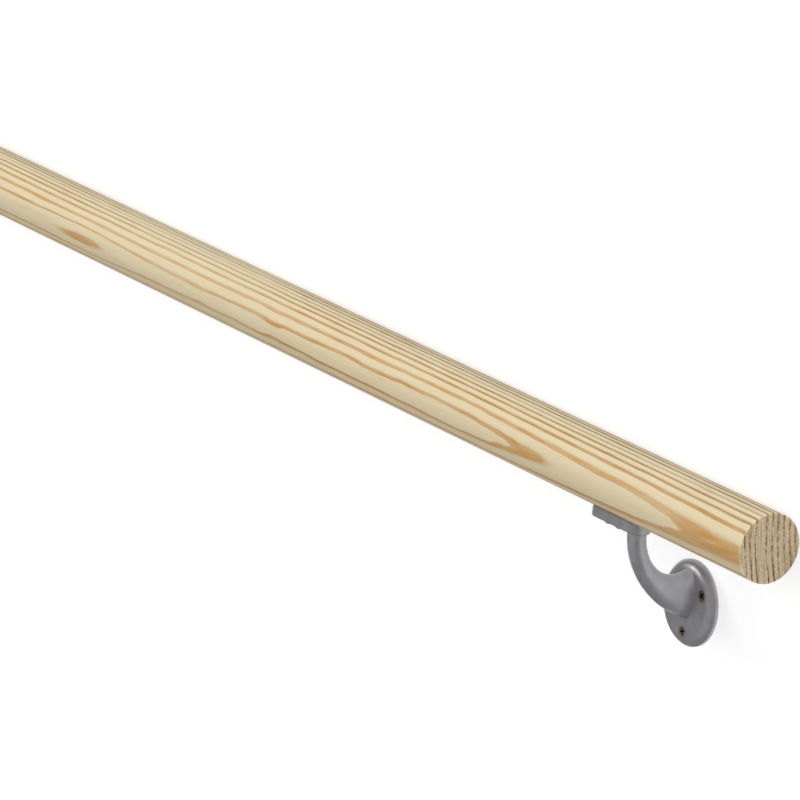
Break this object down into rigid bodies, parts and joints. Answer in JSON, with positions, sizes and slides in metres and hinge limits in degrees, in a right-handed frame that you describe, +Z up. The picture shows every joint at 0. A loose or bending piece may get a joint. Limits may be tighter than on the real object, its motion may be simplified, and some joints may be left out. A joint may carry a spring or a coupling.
{
  "type": "stair handrail length",
  "caption": "Round timber stair handrail with cast wall brackets: a saddle under the rail, a curved arm and a round countersunk wall plate.",
  "frame": {"origin": "middle of the bounding box, on the floor the part lies on", "axes": "+X along the rail towards its near end, +Z up from the floor, wall plates towards -Y, their backs turned down"},
  "size_m": [1.8, 0.1667, 0.0545],
  "materials": {
    "pine": "planed, unfinished",
    "cast_bracket": "satin",
    "screw": "plated"
  },
  "bodies": {
    "root": {"handrail": "pine", "wall_brackets": "cast_bracket", "saddle_screws": "screw"}
  },
  "joints": []
}
